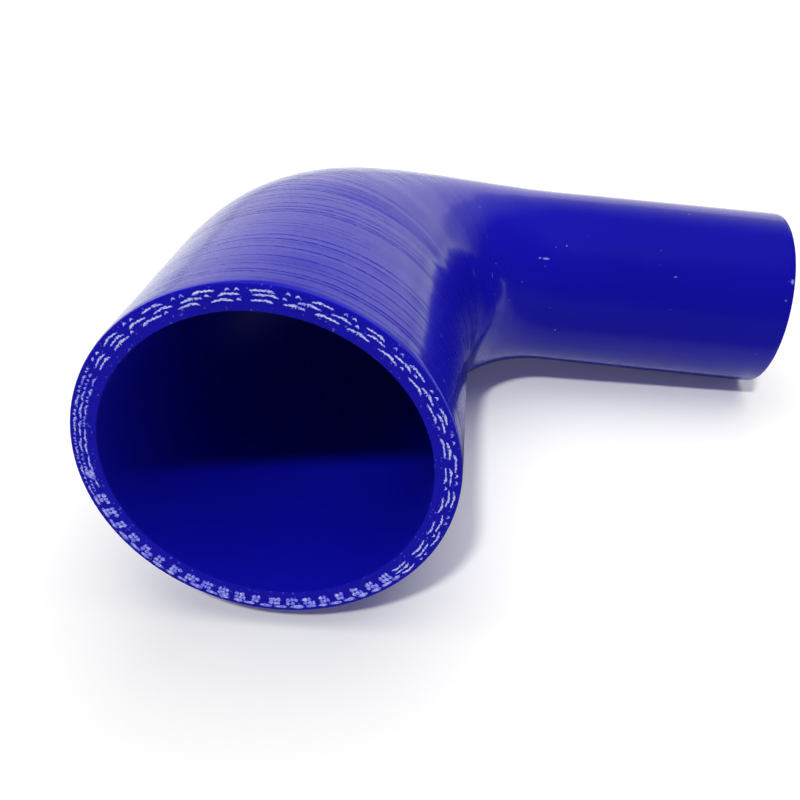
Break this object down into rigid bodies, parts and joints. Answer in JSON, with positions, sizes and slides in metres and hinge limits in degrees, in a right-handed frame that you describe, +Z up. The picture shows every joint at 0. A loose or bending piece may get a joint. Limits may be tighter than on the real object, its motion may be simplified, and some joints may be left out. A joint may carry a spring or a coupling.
{
  "type": "silicone reducing elbow hose",
  "caption": "Moulded 90 degree elbow hose in fabric-reinforced blue silicone, reducing from a large bore to a small one, to join two pipes under band clamps.",
  "frame": {"origin": "middle of the footprint's bounding box, on the surface that the hose lies on", "axes": "+Z up from that surface, the large mouth faces -Y and the small end faces +X, each tilted a few degrees as the hose lies at rest"},
  "size_m": [0.1592, 0.1342, 0.0788],
  "materials": {
    "silicone": "gloss",
    "reinforcement_yarn": "matte"
  },
  "bodies": {
    "root": {"elbow_hose": "silicone"}
  },
  "joints": []
}
